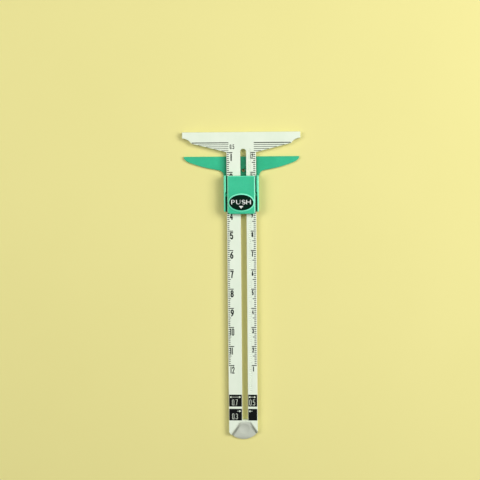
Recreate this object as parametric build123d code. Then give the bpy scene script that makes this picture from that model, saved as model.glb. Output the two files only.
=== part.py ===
from build123d import *
import math
import os

# Sliding T gauge for sewing. It lies on its back on the work.
# Frame: +Z out of the printed face, +Y towards the T crossbar, +X to the right.
# The origin is the centre of the whole gauge's footprint, on the work surface.
# "s" is the distance down the gauge as the scale reads it, so Y = ZERO - s. The crossbar's straight edge is at s = bar_s.

# ---- whole gauge ----
overall_length = 160.0        # crossbar's straight edge to the tip of the foot
bar_s = -0.4
tip_s = overall_length + bar_s
ZERO = overall_length / 2.0 + bar_s
face_z = 3.1                  # printed face of the ruler

# ---- ruler ----
blade_width = 15.0
left_leg = 7.0                # left of the slot, used as a 7 mm gauge
slot_width = 3.0              # the slot, used as a 3 mm gauge
right_leg = 5.0               # right of the slot, used as a 5 mm gauge
blade_back_z = 1.3            # the blade stands clear of the work, and the slider's plate passes behind it
slot_top_s = 8.1
slot_end_s = 149.2
cross_half = 30.0             # crossbar: 60 mm across
cross_end_s = 2.7             # the crossbar's square ends reach down to here
cross_root_s = 9.8            # its lower edge at the blade
notch_in = 4.6                # the scooped corner under each end, across
notch_down_s = 5.3
foot_s = 148.2                # the foot is full thickness from here to the tip
foot_tip_r = 9.1              # the foot's rounded end
foot_corner_r = 0.7           # where that arc meets the sides
ramp_s = 150.3                # top of the fan-shaped ramp in the foot
ramp_top_half = 2.75          # half its width there
ramp_splay = 0.70             # each side runs out this much per mm
ramp_start_depth = 0.45
ramp_end_depth = 1.85
ramp_wall_deg = 43.0
groove_half = 0.55            # V groove along the foot of each side wall
groove_depth = 0.42
dish_s = 155.4                # shallow finger dish in the ramp
dish_half = 2.5
dish_depth = 0.30
rack_x0 = 3.55                # rack beside the slot, on the right leg
rack_x1 = 4.75
rack_s0 = 8.0
rack_s1 = 134.0
rack_pitch = 1.0
rack_depth = 0.26
edge_r = 0.30                 # moulded edge rounding

# ---- slider body ----
arm_s = 12.0                  # the arms' straight edge, at rest
arm_half = 29.45
arm_z = 1.4
arm_round = 0.32
plate_z = 1.2                 # back plate, 0.1 mm behind the blade
plate_half = 8.95
slider_end_s = 40.0
rail_s = 21.4
rail_in = 7.68                # 0.18 mm beside the blade
rail_in_low = 8.15            # the lower part of each rail is thinner, above the blade
rail_top_z = 6.0
rail_step_z = 3.5
rail_round = 0.60
rail_end_r = 0.65
marking_hole_s = 19.1
marking_hole_x = 1.0          # in line with the middle of the slot
marking_hole_r = 0.8

# ---- trunnions ----
pivot_s = 31.2
pivot_z = 4.30
trunnion_r = 0.80
trunnion_clear = 0.05
trunnion_out = 8.42
socket_out = 8.54
lead_in_half = 1.25           # snap-in groove above each socket
lead_in_out = 8.12

# ---- push button ----
button_half = 7.1
button_s0 = 21.7
button_s1 = 41.0
button_top_z = 6.75
button_tip_z = 6.35           # the roof falls away a little towards the crossbar
button_wall = 1.15
button_round = 0.65           # its upper edges
button_corner_r = 0.70        # its corners in plan, toward the crossbar
button_low_corner_r = 1.40    # and at the pushed end
button_floor_z = 3.40         # lower edge of its skirt over the blade
button_lift_z = 4.25          # lower edge at the pushed end, which has room to go down
oval_s = 35.2
oval_rx = 6.15
oval_ry = 3.92
oval_rim = 0.58               # rim at the sides
oval_rim_ends = 0.85          # and above and below
oval_rim_h = 0.38
oval_rim_round = 0.26
oval_recess = 0.35
tooth_count = 4
tooth_s = 24.0                # first tooth's tip
tooth_gap = 0.06              # tips stand this far above the rack's crests

# ---- return spring ----
spring_t = 0.20
spring_w = 4.0
spring_x = -3.4


def Y(s):
    return ZERO - s


def prism(points, z0, z1):
    """Solid of the outline points (x, y), from z0 to z1."""
    return extrude(Plane.XY.offset(z0) * make_face(Polyline(*points, close=True)), z1 - z0)


def block(x0, x1, s0, s1, z0, z1):
    return Pos((x0 + x1) / 2, (Y(s0) + Y(s1)) / 2, (z0 + z1) / 2) * Box(x1 - x0, abs(s1 - s0), z1 - z0)


def side_profile(points, x0, x1):
    """Solid of the outline points (s, z), from x0 to x1."""
    pts = [(x0, Y(s), z) for s, z in points]
    return extrude(make_face(Polyline(*pts, close=True)), amount=x1 - x0, dir=(1, 0, 0))


# =========================================================== ruler
slot_x0 = -blade_width / 2 + left_leg
slot_x1 = slot_x0 + slot_width
slot_mid = (slot_x0 + slot_x1) / 2

blade = block(-blade_width / 2, blade_width / 2, 1.0, tip_s - 0.5, blade_back_z, face_z)

# crossbar outline: straight edge, square ends, scooped corners, lower edge tapering out from the blade
xa, xb = cross_half, cross_half - notch_in
cross_edges = [
    Line((-xa, Y(bar_s)), (xa, Y(bar_s))),
    Line((xa, Y(bar_s)), (xa, Y(cross_end_s))),
    ThreePointArc((xa, Y(cross_end_s)), (27.2, Y(3.55)), (xb, Y(notch_down_s))),
    Line((xb, Y(notch_down_s)), (blade_width / 2, Y(cross_root_s))),
    Line((blade_width / 2, Y(cross_root_s)), (-blade_width / 2, Y(cross_root_s))),
    Line((-blade_width / 2, Y(cross_root_s)), (-xb, Y(notch_down_s))),
    ThreePointArc((-xb, Y(notch_down_s)), (-27.2, Y(3.55)), (-xa, Y(cross_end_s))),
    Line((-xa, Y(cross_end_s)), (-xa, Y(bar_s))),
]
crossbar = extrude(make_face(cross_edges), face_z)

foot = block(-blade_width / 2, blade_width / 2, foot_s, tip_s, 0, face_z)
foot &= Pos(0, Y(tip_s - foot_tip_r), face_z / 2) * Cylinder(foot_tip_r, face_z + 2)
foot = fillet([e for e in foot.edges().filter_by(Axis.Z) if e.center().Y < Y(foot_s + 1)], foot_corner_r)
blade = blade - block(-blade_width, blade_width, foot_s + 1, tip_s + 1, 0, face_z + 1)

ruler = blade + crossbar + foot

# small rounding round the face and the work edge
top_edges = [
    e for e in ruler.edges() if abs(e.bounding_box().min.Z - face_z) < 1e-4 and abs(e.bounding_box().max.Z - face_z) < 1e-4
]
ruler = fillet(top_edges, edge_r)

# the slot, with a round top end
slot_r = slot_width / 2
slot = block(slot_x0, slot_x1, slot_top_s + slot_r, slot_end_s, -1, face_z + 1)
slot = fillet([e for e in slot.edges().filter_by(Axis.Z) if e.center().Y < Y(slot_end_s - 1)], 0.3)
slot += Pos(slot_mid, Y(slot_top_s + slot_r), (face_z) / 2) * Cylinder(slot_r, face_z + 2)
ruler -= slot
slot_edges = [
    e
    for e in ruler.edges()
    if abs(e.bounding_box().min.Z - face_z) < 1e-4
    and abs(e.bounding_box().max.Z - face_z) < 1e-4
    and e.bounding_box().min.X > slot_x0 - 0.01
    and e.bounding_box().max.X < slot_x1 + 0.01
]
ruler = chamfer(slot_edges, 0.15)

# the rack: shallow V grooves 1 mm apart
teeth = int(round((rack_s1 - rack_s0) / rack_pitch))
comb = [(rack_s0, face_z + 0.5)]
for i in range(teeth):
    s0 = rack_s0 + i * rack_pitch
    comb += [(s0 + 0.10, face_z), (s0 + 0.50, face_z - rack_depth), (s0 + 0.90, face_z)]
comb += [(rack_s1, face_z + 0.5)]
ruler -= side_profile(comb, rack_x0, rack_x1)

# the fan-shaped ramp in the foot, running down and out to the tip
end_s = tip_s + 2.0
half_end = ramp_top_half + ramp_splay * (end_s - ramp_s)
fan = [
    (slot_mid - ramp_top_half, Y(ramp_s)),
    (slot_mid + ramp_top_half, Y(ramp_s)),
    (slot_mid + half_end, Y(end_s)),
    (slot_mid - half_end, Y(end_s)),
]
deep = 2.0
floor_face = Plane.XY.offset(face_z - deep) * make_face(Polyline(*fan, close=True))
shrink = (deep - ramp_start_depth) * math.tan(math.radians(ramp_wall_deg))
floor_face = offset(floor_face, amount=-min(shrink, 1.60), kind=Kind.INTERSECTION)
cutter = extrude(floor_face, deep + 0.6, taper=-ramp_wall_deg)
slope = (ramp_end_depth - ramp_start_depth) / (tip_s - ramp_s)
above = side_profile(
    [
        (ramp_s - 3, face_z - ramp_start_depth + 3 * slope),
        (end_s + 1, face_z - ramp_start_depth - (end_s + 1 - ramp_s) * slope),
        (end_s + 1, face_z + 3),
        (ramp_s - 3, face_z + 3),
    ],
    -20,
    20,
)
cutter = cutter & above
ruler -= cutter


def ramp_depth(s):
    return ramp_start_depth + slope * (s - ramp_s)


# a narrow V groove follows the foot of each side wall
for sign in (-1, 1):
    ends = []
    for s in (ramp_s + 0.6, tip_s + 1.0):
        out = ramp_top_half + ramp_splay * (s - ramp_s) - ramp_depth(s) * math.tan(math.radians(ramp_wall_deg))
        ends.append(Vector(slot_mid + sign * (out - 0.12), Y(s), face_z - ramp_depth(s)))
    along = ends[1] - ends[0]
    section = Plane(origin=ends[0], x_dir=along.cross(Vector(0, 0, 1)), z_dir=along)
    vee = section * make_face(
        Polyline((-groove_half, 0.10), (groove_half, 0.10), (0, -groove_depth), close=True)
    )
    if section.y_dir.Z < 0:
        vee = section * make_face(
            Polyline((-groove_half, -0.10), (groove_half, -0.10), (0, groove_depth), close=True)
        )
    ruler -= extrude(vee, along.length)
# the dish: a large sphere that only just reaches the ramp
dish_floor = face_z - ramp_start_depth - (dish_s - ramp_s) * slope
ball_r = (dish_half**2 + dish_depth**2) / (2 * dish_depth)
ruler -= Pos(slot_mid - 0.6, Y(dish_s), dish_floor - dish_depth + ball_r) * Sphere(ball_r)

# The ruler is one moulding. It is held here as its four runs, which meet face to face: crossbar, two legs and foot.
def run_of(shape, x0, x1, s0, s1):
    return shape & block(x0, x1, s0, s1, -1.0, face_z + 1.0)


ruler_crossbar = run_of(ruler, -cross_half - 1, cross_half + 1, -1.0, cross_root_s)
ruler_left_leg = run_of(ruler, -blade_width, slot_mid, cross_root_s, foot_s)
ruler_right_leg = run_of(ruler, slot_mid, blade_width, cross_root_s, foot_s)
ruler_foot = run_of(ruler, -blade_width, blade_width, foot_s, tip_s + 1)
runs = ruler_crossbar.volume + ruler_left_leg.volume + ruler_right_leg.volume + ruler_foot.volume
print("ruler, whole and as its runs", round(ruler.volume, 3), round(runs, 3))

# =========================================================== slider body
lower = [(27.9, 14.30), (25.0, 15.62), (22.0, 16.62), (17.7, 17.80), (13.3, 18.68), (11.2, 19.08)]


def arm_outline(sign):
    tip_top = (sign * arm_half, Y(arm_s))
    tip_low = (sign * (arm_half - 0.15), Y(arm_s + 1.0))
    pts = [tip_low] + [(sign * x, Y(s)) for x, s in lower]
    run = Spline(*pts)
    root_s = rail_s + 1.6
    root = (sign * plate_half, Y(root_s))
    last = pts[-1]
    flare = Bezier(last, (sign * 10.1, Y(19.42)), (sign * plate_half, Y(20.5)), root)
    inner = sign * (rail_in - 0.05)
    return make_face(
        [
            Line(tip_top, tip_low),
            run,
            flare,
            Line(root, (inner, Y(root_s))),
            Line((inner, Y(root_s)), (inner, Y(arm_s))),
            Line((inner, Y(arm_s)), tip_top),
        ]
    )


plate = block(-plate_half, plate_half, arm_s, slider_end_s, 0, plate_z)
plate = fillet([e for e in plate.edges().filter_by(Axis.Z) if e.center().Y < Y(slider_end_s - 1)], rail_end_r)
body = plate
for sign in (-1, 1):
    arm = extrude(arm_outline(sign), arm_z)
    arm_top = [
        e
        for e in arm.edges()
        if abs(e.bounding_box().min.Z - arm_z) < 1e-4
        and abs(e.bounding_box().max.Z - arm_z) < 1e-4
        and abs(e.center().X) > plate_half - 0.2
    ]
    body += fillet(arm_top, arm_round)

for sign in (-1, 1):
    x0, x1 = sorted((sign * rail_in, sign * plate_half))
    rail = block(x0, x1, rail_s, slider_end_s, 0, rail_top_z)
    rail = fillet(
        [
            e
            for e in rail.edges().filter_by(Axis.Z)
            if abs(e.center().X) > plate_half - 0.01
        ],
        rail_end_r,
    )
    rail = fillet([e for e in rail.edges() if e.center().Z > rail_top_z - 0.01], rail_round)
    # thinner below the trunnion, above the blade
    a0, a1 = sorted((sign * (rail_in - 1.0), sign * rail_in_low))
    rail -= block(a0, a1, pivot_s + lead_in_half, slider_end_s + 1, rail_step_z, rail_top_z + 1)
    # snap-in groove and trunnion socket
    g0, g1 = sorted((sign * (rail_in - 1.0), sign * lead_in_out))
    rail -= block(g0, g1, pivot_s - lead_in_half, pivot_s + lead_in_half, pivot_z, rail_top_z + 1)
    socket_len = socket_out - (rail_in - 0.5)
    rail -= (
        Pos(sign * (rail_in - 0.5 + socket_len / 2), Y(pivot_s), pivot_z)
        * Rot(0, 90, 0)
        * Cylinder(trunnion_r + trunnion_clear, socket_len)
    )
    body += rail

body -= Pos(marking_hole_x, Y(marking_hole_s), plate_z / 2) * Cylinder(marking_hole_r, plate_z + 1)
slider_body = body

# =========================================================== push button
shell = side_profile(
    [
        (button_s0, button_floor_z),
        (button_s0, button_tip_z),
        (pivot_s - 1.2, button_top_z),
        (button_s1, button_top_z),
        (button_s1, button_lift_z),
        (pivot_s, button_floor_z),
    ],
    -button_half,
    button_half,
)
corners = [e for e in shell.edges() if abs(abs(e.center().X) - button_half) < 0.01]
shell = fillet([e for e in corners if e.center().Y > Y(button_s0) - 0.01], button_corner_r)
corners = [e for e in shell.edges() if abs(abs(e.center().X) - button_half) < 0.01]
shell = fillet([e for e in corners if e.center().Y < Y(button_s1) + 0.01], button_low_corner_r)
top_round = [
    e
    for e in shell.edges()
    if e.center().Z > button_tip_z - 0.02
    and not (abs(e.center().X) < 0.01 and abs(e.center().Y - Y(pivot_s - 1.2)) < 0.05)
]
shell = fillet(top_round, button_round)
hollow = side_profile(
    [
        (button_s0 + button_wall, 0),
        (button_s0 + button_wall, button_tip_z - button_wall),
        (pivot_s - 1.2, button_top_z - button_wall),
        (button_s1 - button_wall, button_top_z - button_wall),
        (button_s1 - button_wall, 0),
    ],
    -button_half + button_wall,
    button_half - button_wall,
)
shell -= hollow

# raised oval rim and the recess inside it
rim = extrude(
    Plane(origin=(0, Y(oval_s), button_top_z - 0.05)) * Ellipse(oval_rx + oval_rim, oval_ry + oval_rim_ends),
    oval_rim_h + 0.05,
)
rim -= extrude(Plane(origin=(0, Y(oval_s), button_top_z - 0.10)) * Ellipse(oval_rx, oval_ry), 2.0)
rim = fillet([e for e in rim.edges() if e.center().Z > button_top_z + oval_rim_h - 0.01], oval_rim_round)
shell += rim
shell -= extrude(
    Plane(origin=(0, Y(oval_s), button_top_z - oval_recess)) * Ellipse(oval_rx, oval_ry), 2.0
)

# trunnions
for sign in (-1, 1):
    length = trunnion_out - (button_half - 0.4)
    shell += (
        Pos(sign * (button_half - 0.4 + length / 2), Y(pivot_s), pivot_z)
        * Rot(0, 90, 0)
        * Cylinder(trunnion_r, length)
    )

# comb of locking teeth under the upper half, on a short rib
tip_z = face_z + tooth_gap
rib_x0, rib_x1 = rack_x0 + 0.05, rack_x1 - 0.05
comb_top = button_tip_z - button_wall + 0.5
comb = [(tooth_s - 0.5, comb_top)]
for i in range(tooth_count):
    s0 = tooth_s - 0.5 + i * rack_pitch
    comb += [(s0 + 0.08, tip_z + 0.24), (s0 + 0.46, tip_z), (s0 + 0.54, tip_z), (s0 + 0.92, tip_z + 0.24)]
comb += [(tooth_s - 0.5 + tooth_count * rack_pitch, comb_top)]
shell += side_profile(comb, rib_x0, rib_x1)

# two ribs that grip the spring's upper end
clip_s0, clip_s1 = pivot_s - 1.1, pivot_s + 0.9
for x in (spring_x - spring_w / 2 - 0.5, spring_x + spring_w / 2 + 0.5):
    shell += block(x - 0.45, x + 0.45, clip_s0, clip_s1, 4.6, button_top_z - button_wall + 0.2)
push_button = shell

# =========================================================== oval label
push_label = extrude(
    Plane(origin=(0, Y(oval_s), button_top_z - oval_recess)) * Ellipse(oval_rx - 0.04, oval_ry - 0.04),
    0.30,
)

# =========================================================== return spring
# bent strip: flat under the button's roof, a slope down, and a turned-up toe that bears on the blade
roof = button_top_z - button_wall
mid = [
    (pivot_s - 1.1, roof - spring_t / 2),
    (pivot_s + 1.6, roof - spring_t / 2),
    (pivot_s + 6.2, face_z - 0.06 + spring_t / 2),
    (pivot_s + 7.4, face_z + 0.50 + spring_t / 2),
]
line = FilletPolyline(*[(0, Y(s), z) for s, z in mid], radius=0.9)
start = line @ 0
strip = Plane(origin=start, x_dir=(1, 0, 0), z_dir=line % 0) * Rectangle(spring_w, spring_t)
return_spring = Pos(spring_x, 0, 0) * sweep(strip, path=line)

os.makedirs("parts", exist_ok=True)
for name, shape in {
    "ruler_crossbar": ruler_crossbar,
    "ruler_left_leg": ruler_left_leg,
    "ruler_right_leg": ruler_right_leg,
    "ruler_foot": ruler_foot,
    "slider_body": slider_body,
    "push_button": push_button,
    "push_label": push_label,
    "return_spring": return_spring,
}.items():
    export_step(shape, f"parts/{name}.step")
    box = shape.bounding_box()
    print(name, len(shape.solids()), round(shape.volume, 2), box.min, box.max)
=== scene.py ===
import math

import bpy
from mathutils import Matrix, Vector
from mathutils.geometry import delaunay_2d_cdt


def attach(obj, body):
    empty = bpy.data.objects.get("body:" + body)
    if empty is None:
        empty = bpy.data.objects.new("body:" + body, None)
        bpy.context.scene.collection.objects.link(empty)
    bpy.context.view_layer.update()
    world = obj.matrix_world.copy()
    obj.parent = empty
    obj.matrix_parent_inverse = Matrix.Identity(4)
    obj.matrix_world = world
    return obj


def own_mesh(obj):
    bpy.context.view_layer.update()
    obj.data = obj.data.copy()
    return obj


# Sliding T gauge for sewing. Lengths here are in millimetres and turned into metres where a mesh is made.
# s is the distance down the gauge as its scale reads it: y = ZERO - s.

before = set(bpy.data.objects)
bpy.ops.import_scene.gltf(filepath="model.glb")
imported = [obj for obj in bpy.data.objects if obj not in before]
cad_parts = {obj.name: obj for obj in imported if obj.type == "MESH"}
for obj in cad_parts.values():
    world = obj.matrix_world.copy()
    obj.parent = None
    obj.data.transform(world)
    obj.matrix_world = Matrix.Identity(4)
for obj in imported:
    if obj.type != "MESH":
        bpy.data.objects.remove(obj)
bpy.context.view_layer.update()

MM = 0.001
ZERO = 79.6
FACE = 3.1            # printed face of the ruler
INK = 0.012           # thickness of the printed ink
LABEL_TOP = 6.70      # top of the oval label
LABEL_S = 35.2


def y_of(s):
    return ZERO - s


# ------------------------------------------------------------------ camera
# Above the gauge, a little towards the crossbar, with a very slight turn, as the picture was taken.
look_at = Vector((-0.943, 25.031, FACE)) * MM
tilt, yaw, roll = math.radians(5.7919), math.radians(2.4645), math.radians(-0.4766)
away = Vector((math.sin(yaw) * math.cos(tilt), math.sin(tilt), math.cos(yaw) * math.cos(tilt)))
right = Vector((0, 1, 0)).cross(away).normalized()
up = away.cross(right)
right, up = (
    math.cos(roll) * right + math.sin(roll) * up,
    -math.sin(roll) * right + math.cos(roll) * up,
)
camera_data = bpy.data.cameras.new("camera")
camera_data.sensor_width = 36.0
camera_data.lens = 36.0 * 976.79 / 480.0
camera_data.clip_start, camera_data.clip_end = 0.01, 10.0
camera = bpy.data.objects.new("camera", camera_data)
bpy.context.scene.collection.objects.link(camera)
camera.matrix_world = Matrix.Translation(look_at + away * 0.5) @ Matrix(
    ((right.x, up.x, away.x), (right.y, up.y, away.y), (right.z, up.z, away.z))
).to_4x4()
bpy.context.scene.camera = camera


# ------------------------------------------------------------------ materials
class Nodes:
    """A material's node tree, with short calls to add and link nodes."""

    def __init__(self, name):
        self.material = bpy.data.materials.new(name)
        self.material.use_nodes = True
        self.tree = self.material.node_tree
        self.tree.nodes.clear()
        self.out = self.add("ShaderNodeOutputMaterial")
        self.shader = self.add("ShaderNodeBsdfPrincipled")
        self.link(self.shader.outputs["BSDF"], self.out.inputs["Surface"])
        self.where = self.add("ShaderNodeTexCoord").outputs["Object"]

    def add(self, kind, **settings):
        node = self.tree.nodes.new(kind)
        for key, value in settings.items():
            setattr(node, key, value)
        return node

    def link(self, a, b):
        self.tree.links.new(a, b)

    def stretched(self, scale):
        """The coordinates, scaled by three numbers."""
        m = self.add("ShaderNodeMapping")
        m.inputs["Scale"].default_value = scale
        self.link(self.where, m.inputs["Vector"])
        return m.outputs["Vector"]

    def noise(self, scale, detail=2.0, rough=0.5, vector=None, distortion=0.0):
        n = self.add("ShaderNodeTexNoise")
        n.inputs["Scale"].default_value = scale
        n.inputs["Detail"].default_value = detail
        n.inputs["Roughness"].default_value = rough
        n.inputs["Distortion"].default_value = distortion
        self.link(vector or self.where, n.inputs["Vector"])
        return n.outputs["Fac"]

    def ramp(self, value, low, high, out_low=0.0, out_high=1.0, kind="LINEAR"):
        r = self.add("ShaderNodeMapRange", interpolation_type=kind)
        r.inputs["From Min"].default_value = low
        r.inputs["From Max"].default_value = high
        r.inputs["To Min"].default_value = out_low
        r.inputs["To Max"].default_value = out_high
        self.link(value, r.inputs["Value"])
        return r.outputs["Result"]

    def mix(self, share, a, b):
        """A colour between a and b. Each is a colour or an output."""
        m = self.add("ShaderNodeMix", data_type="RGBA")
        self.link(share, m.inputs[0])
        for socket, value in ((m.inputs[6], a), (m.inputs[7], b)):
            if isinstance(value, (tuple, list)):
                socket.default_value = (*value, 1.0)
            else:
                self.link(value, socket)
        return m.outputs[2]

    def maths(self, kind, a, b):
        m = self.add("ShaderNodeMath", operation=kind)
        if kind == "MULTIPLY_ADD":
            m.inputs[2].default_value = 0.0
        for socket, value in zip(m.inputs, (a, b)):
            if isinstance(value, (int, float)):
                socket.default_value = value
            else:
                self.link(value, socket)
        return m.outputs[0]

    def axes(self):
        """The object coordinates in millimetres, apart: x, y, z."""
        part = self.add("ShaderNodeSeparateXYZ")
        self.link(self.where, part.inputs["Vector"])
        return [self.maths("MULTIPLY", part.outputs[i], 1000.0) for i in range(3)]

    def band(self, value, low, high, soft):
        """1 where the value lies between low and high, with soft sides."""
        up = self.ramp(value, low - soft, low + soft, 0.0, 1.0, "SMOOTHSTEP")
        down = self.ramp(value, high - soft, high + soft, 1.0, 0.0, "SMOOTHSTEP")
        return self.maths("MULTIPLY", up, down)

    def bumps(self, *layers):
        """Bumps laid on each other. Each layer is (height output, strength, distance in metres)."""
        normal = None
        for height, strength, distance in layers:
            b = self.add("ShaderNodeBump")
            b.inputs["Strength"].default_value = strength
            b.inputs["Distance"].default_value = distance
            self.link(height, b.inputs["Height"])
            if normal:
                self.link(normal, b.inputs["Normal"])
            normal = b.outputs["Normal"]
        self.link(normal, self.shader.inputs["Normal"])

    def set(self, **values):
        for key, value in values.items():
            socket = self.shader.inputs[key.replace("_", " ")]
            if isinstance(value, tuple) and len(value) == 3 and socket.type == "RGBA":
                socket.default_value = (*value, 1.0)
            elif hasattr(value, "is_output"):
                self.link(value, socket)
            else:
                socket.default_value = value


def ruler_plastic():
    """White moulded plastic with a very slight green cast: fine mould texture, faint flow along the blade, and light rubbing where the slider runs."""
    n = Nodes("ruler_white_plastic")
    cloud = n.noise(95.0, 3.0, 0.55)
    flow = n.noise(60.0, 3.0, 0.6, n.stretched((6.0, 0.8, 2.0)))
    grain = n.noise(5200.0, 2.0, 0.6)
    rub = n.noise(420.0, 4.0, 0.6, n.stretched((14.0, 0.35, 4.0)))
    base = n.mix(n.ramp(cloud, 0.35, 0.65), (0.725, 0.815, 0.668), (0.765, 0.845, 0.702))
    base = n.mix(n.ramp(flow, 0.40, 0.72, 0.0, 0.35), base, (0.81, 0.875, 0.745))
    base = n.mix(n.ramp(grain, 0.62, 0.78, 0.0, 0.25), base, (0.67, 0.75, 0.62))
    # painted shade on the fan in the foot: a duller grey there, darker still along the valleys at its two sides and at
    # the lip of the tip
    x, y, z = n.axes()
    down = n.ramp(y, y_of(160.0), y_of(150.3), 9.7, 0.0)
    across = n.maths("ABSOLUTE", n.maths("SUBTRACT", x, 1.0), 0.0)
    side = n.maths("SUBTRACT", across, n.maths("MULTIPLY_ADD", down, 0.70))
    fan_shade = n.maths("MULTIPLY", n.ramp(side, 2.45, 2.85, 1.0, 0.0, "SMOOTHSTEP"), n.ramp(y, y_of(150.7), y_of(150.2), 1.0, 0.0, "SMOOTHSTEP"))
    fan_shade = n.maths("MULTIPLY", fan_shade, n.ramp(z, 2.95, 3.05, 1.0, 0.0))
    valley_shade = n.maths("MULTIPLY", n.band(side, 1.15, 2.55, 0.75), n.ramp(y, y_of(154.0), y_of(150.9), 1.0, 0.0, "SMOOTHSTEP"))
    lip_shade = n.ramp(y, y_of(159.4), y_of(157.4), 0.55, 0.0, "SMOOTHSTEP")
    base = n.mix(n.maths("MULTIPLY", fan_shade, 0.62), base, (0.400, 0.405, 0.355))
    base = n.mix(n.maths("MULTIPLY", n.maths("MAXIMUM", valley_shade, lip_shade), n.maths("MULTIPLY", fan_shade, 0.58)), base, (0.170, 0.185, 0.145))
    # painted highlight on the rounded long edges of the blade and of the slot: paler there
    outer = n.ramp(n.maths("ABSOLUTE", x, 0.0), 7.05, 7.40, 0.0, 1.0, "SMOOTHSTEP")
    inner = n.ramp(across, 1.55, 1.85, 1.0, 0.0, "SMOOTHSTEP")
    along = n.maths("MULTIPLY", n.ramp(y, y_of(149.4), y_of(148.6), 0.0, 1.0), n.ramp(y, y_of(10.2), y_of(9.2), 1.0, 0.0))
    edge_highlight = n.maths("MULTIPLY", n.maths("MULTIPLY", n.maths("MAXIMUM", outer, inner), along), n.ramp(z, 2.5, 2.9, 0.0, 0.75))
    base = n.mix(edge_highlight, base, (0.905, 0.935, 0.820))
    n.set(Base_Color=base, IOR=1.49, Specular_IOR_Level=0.5)
    rough = n.maths("ADD", n.ramp(grain, 0.3, 0.7, 0.27, 0.37), n.ramp(rub, 0.52, 0.72, 0.0, 0.12))
    n.set(Roughness=rough)
    n.bumps((flow, 0.20, 0.00006), (grain, 0.16, 0.00001), (rub, 0.10, 0.000006))
    return n.material


def green_plastic(name, deep, bright, edges):
    """Green moulded plastic, semi-gloss, with a fine mould texture and the slight depth of a coloured resin."""
    n = Nodes(name)
    cloud = n.noise(120.0, 3.0, 0.55)
    swirl = n.noise(260.0, 4.0, 0.6, n.stretched((1.0, 2.6, 1.0)), 0.6)
    grain = n.noise(4300.0, 2.0, 0.6)
    base = n.mix(n.ramp(cloud, 0.32, 0.68), deep, bright)
    base = n.mix(n.ramp(swirl, 0.50, 0.75, 0.0, 0.22), base, tuple(min(1.0, c * 1.14 + 0.006) for c in bright))
    base = n.mix(n.ramp(grain, 0.60, 0.80, 0.0, 0.20), base, tuple(c * 0.82 for c in deep))
    # painted highlights and painted shade from the edges function, laid over the base colour
    x, y, z = n.axes()
    for share, colour in edges(n, x, y, z):
        base = n.mix(share, base, colour)
    n.set(Base_Color=base, IOR=1.5, Specular_IOR_Level=0.5)
    n.set(Roughness=n.ramp(grain, 0.3, 0.7, 0.25, 0.36))
    n.set(Subsurface_Weight=0.18, Subsurface_Radius=(0.25, 1.0, 0.6), Subsurface_Scale=0.0009)
    n.bumps((swirl, 0.12, 0.00004), (grain, 0.20, 0.00001))
    return n.material


def slider_edges(n, x, y, z):
    wide = n.maths("ABSOLUTE", x, 0.0)
    # painted highlight on the rail tops, and a stronger one on the right rail's outer side
    rail_highlight = n.maths("MULTIPLY", n.ramp(z, 5.1, 5.9, 0.0, 1.0, "SMOOTHSTEP"), n.ramp(wide, 7.7, 8.2, 0.55, 1.0))
    right = n.ramp(x, 8.2, 8.9, 0.0, 0.75, "SMOOTHSTEP")
    # painted shade in the marking hole and round its mouth
    hole = n.maths("ADD", n.maths("POWER", n.maths("SUBTRACT", x, 1.0), 2.0), n.maths("POWER", n.maths("SUBTRACT", y, y_of(19.1)), 2.0))
    inside = n.ramp(hole, 0.80, 1.15, 1.0, 0.0, "SMOOTHSTEP")
    # painted shade on the low plate under the blade and in the slot
    deep = n.maths("MULTIPLY", n.ramp(wide, 7.5, 7.9, 1.0, 0.0), n.ramp(z, 1.5, 2.5, 0.72, 0.0))
    # painted shadow of the blade on the arms beside it, deeper on the left
    root_shadow = n.maths("MULTIPLY", n.ramp(wide, 7.4, 13.0, 1.0, 0.0, "SMOOTHSTEP"), n.ramp(z, 3.6, 4.4, 1.0, 0.0))
    root_shadow = n.maths("MULTIPLY", root_shadow, n.ramp(x, -1.0, 1.0, 0.85, 0.40))
    return (
        (n.maths("MULTIPLY", rail_highlight, 0.72), (0.150, 0.800, 0.500)),
        (n.maths("MULTIPLY", rail_highlight, right), (0.300, 0.950, 0.660)),
        (root_shadow, (0.014, 0.260, 0.125)),
        (deep, (0.016, 0.215, 0.100)),
        (inside, (0.004, 0.060, 0.022)),
    )


def button_edges(n, x, y, z):
    # painted highlight on the rim round the oval, stronger toward the right and toward the crossbar
    u = n.maths("POWER", n.maths("DIVIDE", x, 6.45), 2.0)
    v = n.maths("POWER", n.maths("DIVIDE", n.maths("SUBTRACT", y, y_of(LABEL_S)), 4.30), 2.0)
    rim_highlight = n.band(n.maths("ADD", u, v), 0.88, 1.17, 0.05)
    crest = n.ramp(z, 6.80, 7.00, 0.0, 1.0, "SMOOTHSTEP")
    toward = n.maths("ADD", n.maths("MULTIPLY", x, 0.07), n.maths("MULTIPLY", n.maths("SUBTRACT", y, y_of(LABEL_S)), 0.10))
    bright = n.ramp(toward, -0.45, 0.45, 0.35, 1.0)
    # painted highlights on the long edges and on the edge toward the crossbar
    left = n.ramp(x, -7.0, -6.35, 1.0, 0.0, "SMOOTHSTEP")
    right = n.ramp(x, 6.35, 7.0, 0.0, 1.0, "SMOOTHSTEP")
    top = n.ramp(y, y_of(22.3), y_of(21.8), 0.0, 0.8, "SMOOTHSTEP")
    high = n.ramp(z, 5.4, 6.0, 0.0, 1.0)
    return (
        (n.maths("MULTIPLY", top, high), (0.180, 0.850, 0.560)),
        (n.maths("MULTIPLY", n.maths("MULTIPLY", left, high), 0.80), (0.330, 0.800, 0.540)),
        (n.maths("MULTIPLY", n.maths("MULTIPLY", right, high), 0.90), (0.330, 0.980, 0.700)),
        (n.maths("MULTIPLY", n.maths("MULTIPLY", rim_highlight, crest), bright), (0.260, 0.960, 0.640)),
    )


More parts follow.
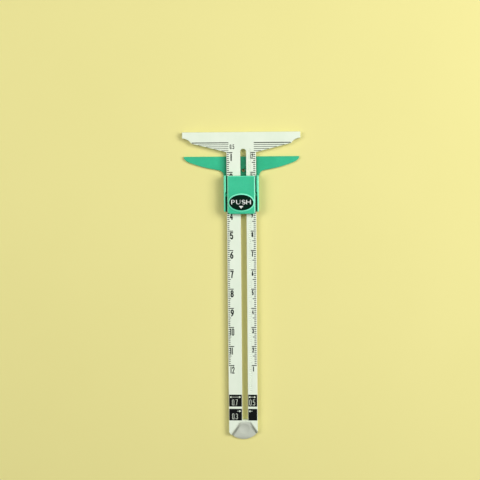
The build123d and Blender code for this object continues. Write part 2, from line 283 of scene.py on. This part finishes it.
def label_black():
    """Very dark green-black label, glossy, with a faint fine grain."""
    n = Nodes("label_black_gloss")
    grain = n.noise(7000.0, 2.0, 0.6)
    cloud = n.noise(500.0, 3.0, 0.55)
    base = n.mix(n.ramp(cloud, 0.35, 0.65), (0.0004, 0.0105, 0.0046), (0.0010, 0.0150, 0.0072))
    base = n.mix(n.ramp(grain, 0.60, 0.76, 0.0, 0.5), base, (0.002, 0.020, 0.010))
    n.set(Base_Color=base, IOR=1.40, Specular_IOR_Level=0.18)
    n.set(Roughness=n.ramp(grain, 0.3, 0.7, 0.24, 0.36))
    n.bumps((grain, 0.18, 0.00001))
    return n.material


def spring_steel():
    """Cold-rolled spring strip with a fine lengthwise brush."""
    n = Nodes("spring_steel_strip")
    brush = n.noise(900.0, 4.0, 0.65, n.stretched((16.0, 0.6, 0.6)))
    haze = n.noise(380.0, 3.0, 0.6)
    base = n.mix(n.ramp(haze, 0.35, 0.65), (0.50, 0.50, 0.49), (0.62, 0.62, 0.60))
    base = n.mix(n.ramp(brush, 0.45, 0.75, 0.0, 0.4), base, (0.36, 0.36, 0.35))
    n.set(Base_Color=base, Metallic=1.0)
    n.set(Roughness=n.ramp(brush, 0.3, 0.7, 0.24, 0.42))
    n.bumps((brush, 0.25, 0.000006))
    return n.material


def print_ink(name, dark, worn, rough_low, rough_high):
    """Printed ink with a slightly uneven film."""
    n = Nodes(name)
    film = n.noise(2600.0, 3.0, 0.6)
    fleck = n.noise(9000.0, 2.0, 0.6)
    base = n.mix(n.ramp(film, 0.38, 0.66), dark, worn)
    base = n.mix(n.ramp(fleck, 0.66, 0.80, 0.0, 0.35), base, tuple(min(1.0, c * 1.6 + 0.02) for c in worn))
    n.set(Base_Color=base, IOR=1.42, Specular_IOR_Level=0.16)
    n.set(Roughness=n.ramp(film, 0.3, 0.7, rough_low, rough_high))
    n.bumps((fleck, 0.22, 0.000006))
    return n.material


white = ruler_plastic()
slider_green = green_plastic("slider_green_plastic", (0.030, 0.455, 0.240), (0.040, 0.515, 0.280), slider_edges)
button_green = green_plastic("button_green_plastic", (0.036, 0.485, 0.262), (0.046, 0.540, 0.300), button_edges)
oval_black = label_black()
steel = spring_steel()
black_ink = print_ink("scale_ink_black", (0.010, 0.014, 0.012), (0.022, 0.028, 0.024), 0.42, 0.58)
patch_ink = print_ink("patch_ink_black", (0.0020, 0.0026, 0.0024), (0.0052, 0.0062, 0.0058), 0.40, 0.55)
white_ink = print_ink("label_ink_white", (0.72, 0.76, 0.71), (0.80, 0.83, 0.78), 0.45, 0.60)

FINISH = {
    "ruler_crossbar": white,
    "ruler_left_leg": white,
    "ruler_right_leg": white,
    "ruler_foot": white,
    "slider_body": slider_green,
    "push_button": button_green,
    "push_label": oval_black,
    "return_spring": steel,
}
for name, material in FINISH.items():
    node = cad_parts[name]
    node.data.materials.clear()
    node.data.materials.append(material)


# ------------------------------------------------------------------ printed marks
def bar(x0, x1, s0, s1):
    """A rectangle, as a list of one outline."""
    a, b = sorted((x0, x1))
    c, d = sorted((y_of(s0), y_of(s1)))
    return [[(a, c), (b, c), (b, d), (a, d)]]


def disc(x, y, r, n=14):
    return [[(x + r * math.cos(2 * math.pi * i / n), y + r * math.sin(2 * math.pi * i / n)) for i in range(n)]]


def stroke(points, width, closed=False, ends=True):
    """The outlines of a pen stroke along points (x, y): a quad for each run, mitred at the bends, with round ends.
    width is one number, or one for each point."""
    pts, wide = [], []
    widths = width if isinstance(width, (list, tuple)) else [width] * len(points)
    for p, w in zip(points, widths):
        if not pts or (Vector(p) - pts[-1]).length > 1e-4:
            pts.append(Vector(p))
            wide.append(w)
    if closed and (pts[0] - pts[-1]).length < 1e-4:
        pts.pop()
        wide.pop()
    n = len(pts)
    runs = [(pts[(i + 1) % n] - pts[i]).normalized() for i in range(n if closed else n - 1)]
    sides = []
    for i in range(n):
        before = runs[i - 1] if (i > 0 or closed) else runs[0]
        after = runs[i % len(runs)] if (i < n - 1 or closed) else runs[-1]
        cross = Vector((-(before.y + after.y), before.x + after.x))
        if cross.length < 1e-6:
            cross = Vector((-before.y, before.x))
        cross.normalize()
        lean = max(0.45, cross.dot(Vector((-before.y, before.x))))
        sides.append(cross * (wide[i] / 2 / lean))
    faces = []
    for i in range(n if closed else n - 1):
        j = (i + 1) % n
        faces.append([tuple(pts[i] + sides[i]), tuple(pts[i] - sides[i]), tuple(pts[j] - sides[j]), tuple(pts[j] + sides[j])])
    if ends and not closed:
        faces += disc(pts[0].x, pts[0].y, wide[0] / 2) + disc(pts[-1].x, pts[-1].y, wide[-1] / 2)
    return faces


def curve(cx, cy, rx, ry, a0, a1, steps=12):
    """Points along part of an ellipse, from angle a0 to a1 in degrees."""
    return [
        (cx + rx * math.cos(math.radians(a0 + (a1 - a0) * i / steps)), cy + ry * math.sin(math.radians(a0 + (a1 - a0) * i / steps)))
        for i in range(steps + 1)
    ]


def glyph(c, w, h):
    """The pen lines of one digit in a box w wide and h high, from its lower left corner: [(points, closed)]."""
    m = w / 2
    if c == "0":
        r = min(m, h / 3)
        return [(curve(m, h - r, m, r, 0, 180) + curve(m, r, m, r, 180, 360), True)]
    if c == "1":
        return [([(m, 0), (m, h)], False)]
    if c == "2":
        r = h * 0.28
        return [(curve(m, h - r, m, r, 170, -20, 14) + [(w * 0.02, 0.0), (w, 0.0)], False)]
    if c == "3":
        r, q = h * 0.245, h * 0.265
        return [
            (curve(m, h - r, m * 0.94, r, 160, -80, 14), False),
            (curve(m, q, m, q, 80, -165, 16), False),
        ]
    if c == "4":
        return [([(w * 0.76, 0.0), (w * 0.76, h), (0.0, h * 0.28), (w, h * 0.28)], False)]
    if c == "5":
        q = h * 0.31
        return [([(w * 0.94, h), (w * 0.10, h), (w * 0.04, h * 0.55)] + curve(m, q, m, q, 122, -150, 16), False)]
    if c == "6":
        q = h * 0.29
        return [
            (curve(m, q, m, q, 0, 360, 20)[:-1], True),
            ([(w * 0.82, h * 0.99), (w * 0.42, h * 0.86), (w * 0.10, h * 0.58), (0.0, q)], False),
        ]
    if c == "7":
        return [([(0.0, h), (w, h), (w * 0.62, h * 0.52), (w * 0.42, 0.0)], False)]
    if c == "8":
        r, q = h * 0.235, h * 0.265
        return [
            (curve(m, h - r, m * 0.88, r, 0, 360, 18)[:-1], True),
            (curve(m, q, m, q, 0, 360, 20)[:-1], True),
        ]
    if c == "9":
        q = h * 0.29
        return [
            (curve(m, h - q, m, q, 0, 360, 20)[:-1], True),
            ([(w * 0.18, h * 0.01), (w * 0.58, h * 0.14), (w * 0.90, h * 0.42), (w, h - q)], False),
        ]
    raise ValueError(c)


def number(text, x0, x1, s_top, s_low, width, gap):
    """Outlines of a number in the box x0..x1, from s_top down to s_low: one list for each character."""
    height = s_low - s_top - width
    narrow = {"1": 0.0, ".": 0.0}
    shares = [narrow.get(c, 1.0) for c in text]
    inked = (x1 - x0) - gap * (len(text) - 1) - width * len(text)
    unit = inked / max(sum(shares), 1e-9)
    done, x = [], x0 + width / 2
    for c, share in zip(text, shares):
        w = unit * share
        if c == ".":
            done.append(disc(x + w / 2, y_of(s_low) + width * 0.6, width * 0.62))
        else:
            faces = []
            for points, closed in glyph(c, w, height):
                faces += stroke([(x + a, y_of(s_low) + width / 2 + b) for a, b in points], width, closed)
            done.append(faces)
        x += w + width + gap
    return done


def covered(x, y, outlines):
    """Whether a point lies in any of the outlines."""
    for outline in outlines:
        inside = False
        for (ax, ay), (bx, by) in zip(outline, outline[1:] + outline[:1]):
            if (ay > y) != (by > y) and x < (bx - ax) * (y - ay) / (by - ay) + ax:
                inside = not inside
        if inside:
            return True
    return False


def film(name, marks, z, thickness, material, body, slot):
    """A thin closed film, from z up by thickness. Each mark is (solid outlines, open outlines): the union of the
    first less the union of the second."""
    verts, polygons = [], []
    for solid, holes in marks:
        coords, edges = [], []
        for outline in [*solid, *holes]:
            first = len(coords)
            coords += [Vector(p) for p in outline]
            edges += [(first + i, first + (i + 1) % len(outline)) for i in range(len(outline))]
        points, _, triangles, *_ = delaunay_2d_cdt(coords, edges, [], 0, 1e-5)
        keep = []
        for f in triangles:
            corners = [points[v] for v in f]
            cx, cy = sum(p[0] for p in corners) / len(f), sum(p[1] for p in corners) / len(f)
            (ax, ay), (bx, by), (ex, ey) = (p[:2] for p in corners[:3])
            turn = (bx - ax) * (ey - ay) - (by - ay) * (ex - ax)
            if abs(turn) > 1e-9 and covered(cx, cy, solid) and not covered(cx, cy, holes):
                keep.append(f if turn > 0 else f[::-1])
        used = sorted({v for f in keep for v in f})
        base, n = len(verts), len(used)
        at = {v: base + i for i, v in enumerate(used)}
        verts += [(points[v][0] * MM, points[v][1] * MM, z * MM) for v in used]
        verts += [(points[v][0] * MM, points[v][1] * MM, (z + thickness) * MM) for v in used]
        rim = set()
        for f in keep:
            ids = [at[v] for v in f]
            polygons.append([i + n for i in ids])
            polygons.append(ids[::-1])
            rim |= set(zip(ids, ids[1:] + ids[:1]))
        for a, b in sorted(rim):
            if (b, a) not in rim:
                polygons.append([a, b, b + n, a + n])
    mesh = bpy.data.meshes.new(name)
    mesh.from_pydata(verts, [], polygons)
    mesh.validate()
    mesh.update()
    mesh.materials.append(material)
    piece = bpy.data.objects.new(name, mesh)
    bpy.context.scene.collection.objects.link(piece)
    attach(piece, body)
    return piece


def whole(outlines):
    """One mark with nothing cut from it."""
    return (outlines, [])


# left scale: counts down the gauge from the crossbar
marks = []
for s in range(10, 121):
    if s % 10 == 0:
        marks.append(whole(bar(-7.25, -4.42, s - 0.23, s + 0.23)))
    elif s % 5 == 0:
        marks.append(whole(bar(-7.25, -5.90, s - 0.21, s + 0.21)))
    else:
        marks.append(whole(bar(-7.25, -6.30, s - 0.20, s + 0.20)))
for k in range(1, 13):
    s = 10 * k
    x0, x1 = (-6.42, -4.30) if k > 9 else (-6.12, -4.38)
    if k == 1:
        x0, x1 = -5.44, -4.84
    for faces in number(str(k), x0, x1, s + 0.50, s + 4.28, 0.66 if k < 10 else 0.50, 0.20 if k < 10 else 0.30):
        marks.append(whole(faces))
film("scale_marks_left", marks, FACE, INK, black_ink, "ruler", "label_black")

# right scale: counts back from the foot
marks = []
for s in range(10, 121):
    if s % 10 == 0:
        marks.append(whole(bar(4.62, 7.16, s - 0.23, s + 0.23)))
    elif s % 5 == 0:
        marks.append(whole(bar(5.35, 7.16, s - 0.21, s + 0.21)))
    else:
        marks.append(whole(bar(6.10, 7.16, s - 0.20, s + 0.20)))
for k in range(1, 13):
    s = 10 * k
    text = str(13 - k)
    x0, x1 = (4.72, 6.02) if len(text) > 1 else (4.92, 5.86)
    if text == "1":
        x0, x1 = 5.25, 5.60
    for faces in number(text, x0, x1, s + 0.45, s + 3.16, 0.52 if len(text) == 1 else 0.36, 0.16):
        marks.append(whole(faces))
film("scale_marks_right", marks, FACE, INK, black_ink, "ruler", "label_black")

# lines across the crossbar, 5 to 9 mm from its straight edge
marks = []
for s, reach, thick in ((5, 25.1, 0.46), (6, 22.0, 0.28), (7, 18.0, 0.28), (8, 14.0, 0.28), (9, 10.0, 0.28)):
    marks.append(whole(bar(-6.45, -reach, s - thick / 2, s + thick / 2)))
    marks.append(whole(bar(6.45, reach, s - thick / 2, s + thick / 2)))
for faces in number("0.5", -5.80, -3.45, 5.85, 8.20, 0.34, 0.12):
    marks.append(whole(faces))
film("crossbar_lines", marks, FACE, INK, black_ink, "ruler", "label_black")


# dark patches with the widths of the legs and the slot, left open in the print so that the white shows
def arrow(x0, x1, s, head, left=True, right=True):
    faces = bar(x0 + (head if left else 0), x1 - (head if right else 0), s - 0.10, s + 0.10)
    y = y_of(s)
    if left:
        faces += [[(x0, y), (x0 + head, y - 0.58), (x0 + head, y + 0.58)]]
    if right:
        faces += [[(x1, y), (x1 - head, y + 0.58), (x1 - head, y - 0.58)]]
    return faces


marks = [
    (
        bar(-7.29, -0.67, 135.45, 141.80),
        arrow(-7.05, -1.10, 136.75, 0.95) + sum(number("0.7", -5.75, -2.85, 138.05, 141.15, 0.21, 0.28), []),
    ),
    (
        bar(2.67, 7.29, 135.45, 141.80),
        arrow(2.76, 6.62, 136.75, 0.95) + sum(number("0.5", 3.20, 6.20, 138.05, 141.15, 0.21, 0.28), []),
    ),
    (
        bar(-7.29, -0.67, 143.00, 149.20),
        arrow(-3.15, -1.10, 144.25, 0.95, left=False) + sum(number("0.3", -5.75, -2.85, 145.50, 148.55, 0.21, 0.28), []),
    ),
    (bar(2.67, 7.29, 143.00, 149.20), arrow(2.76, 4.90, 144.25, 0.95, right=False)),
]
film("width_patches", marks, FACE, INK, patch_ink, "ruler", "label_black")


# the word and arrow on the button's label, drawn with a broad pen: heavy uprights and light curves
def letters():
    top, low = y_of(LABEL_S - 1.38), y_of(LABEL_S + 0.84)
    h, heavy, light = top - low, 0.46, 0.19
    # P
    r = h * 0.26
    yield stroke([(-4.84, low), (-4.84, top)], heavy, ends=False) + stroke(
        [(-4.74, top - light / 2), (-4.20, top - light / 2)]
        + curve(-4.20, top - light / 2 - r, 0.70, r, 90, -90)
        + [(-4.74, top - light / 2 - 2 * r)],
        [light, light] + [light + 0.16 * math.sin(math.pi * i / 12) for i in range(13)] + [light],
        ends=False,
    )
    # U
    r = 0.78
    bowl = curve(-1.48, low + 0.12 + r, 0.92, r, 180, 360)
    yield stroke(
        [(-2.40, top)] + bowl + [(-0.56, top)],
        [heavy, heavy] + [heavy + (light - heavy) * min(1.0, i / 6) for i in range(1, 13)] + [light, light],
        ends=False,
    )
    # S
    r = h * 0.235
    upper = curve(1.20, top - light / 2 - r, 0.74, r, 28, 235)
    lower = curve(1.20, low + light / 2 + r, 0.78, r, 55, -152)
    yield stroke(
        upper + lower,
        [light + (heavy - light) * min(1.0, i / 12) for i in range(13)] + [heavy + (light - heavy) * min(1.0, i / 12) for i in range(13)],
    )
    # H
    yield (
        stroke([(2.72, low), (2.72, top)], heavy, ends=False)
        + stroke([(4.66, low), (4.66, top)], heavy, ends=False)
        + stroke([(2.80, (low + top) / 2 + 0.05), (4.56, (low + top) / 2 + 0.05)], 0.32, ends=False)
    )


marks = [whole(faces) for faces in letters()]
y = y_of(LABEL_S + 1.68)
marks.append(whole([[(-1.25, y), (-0.08, y - 1.36), (1.09, y)]]))
film("push_lettering", marks, LABEL_TOP, 0.03, white_ink, "button", "ruler_plastic")

# ------------------------------------------------------------------ floor and light
floor_mesh = bpy.data.meshes.new("floor")
floor_mesh.from_pydata([(-2, -2, -0.00002), (2, -2, -0.00002), (2, 2, -0.00002), (-2, 2, -0.00002)], [], [(0, 1, 2, 3)])
n = Nodes("floor_pale")
n.set(Base_Color=n.mix(n.ramp(n.noise(14.0, 3.0), 0.3, 0.7), (0.760, 0.703, 0.272), (0.772, 0.714, 0.280)), Roughness=0.75)
floor_mesh.materials.append(n.material)
floor = bpy.data.objects.new("floor", floor_mesh)
bpy.context.scene.collection.objects.link(floor)


def area_light(name, place, target, size, power, colour=(1, 1, 1)):
    data = bpy.data.lights.new(name, "AREA")
    data.shape, data.size, data.size_y = "RECTANGLE", size[0], size[1]
    data.energy, data.color = power, colour
    lamp = bpy.data.objects.new(name, data)
    bpy.context.scene.collection.objects.link(lamp)
    lamp.location = place
    lamp.rotation_mode = "QUATERNION"
    lamp.rotation_quaternion = (Vector(target) - Vector(place)).to_track_quat("-Z", "Y")
    return lamp


area_light("top_left", (-0.40, 0.34, 0.74), (0, 0.02, 0), (0.30, 0.34), 2.0, (1.0, 0.99, 0.97))
area_light("top_right", (0.44, 0.36, 0.72), (0, 0.02, 0), (0.30, 0.34), 2.42, (1.0, 0.99, 0.97))
area_light("front", (0.16, -0.50, 0.72), (0, 0, 0), (0.28, 0.32), 0.70)
area_light("right", (0.58, 0.16, 0.54), (0, 0.03, 0), (0.46, 0.34), 3.6, (1.0, 0.995, 0.98))
area_light("left", (-0.52, 0.08, 0.56), (0, 0.03, 0), (0.32, 0.30), 1.2, (0.98, 0.99, 1.0))

world = bpy.data.worlds.new("world")
bpy.context.scene.world = world
world.use_nodes = True
world.node_tree.nodes["Background"].inputs["Color"].default_value = (0.98, 0.99, 1.0, 1.0)
world.node_tree.nodes["Background"].inputs["Strength"].default_value = 0.10

view = bpy.context.scene.view_settings
view.view_transform = "Standard"
view.look = "None"
view.exposure = 0.0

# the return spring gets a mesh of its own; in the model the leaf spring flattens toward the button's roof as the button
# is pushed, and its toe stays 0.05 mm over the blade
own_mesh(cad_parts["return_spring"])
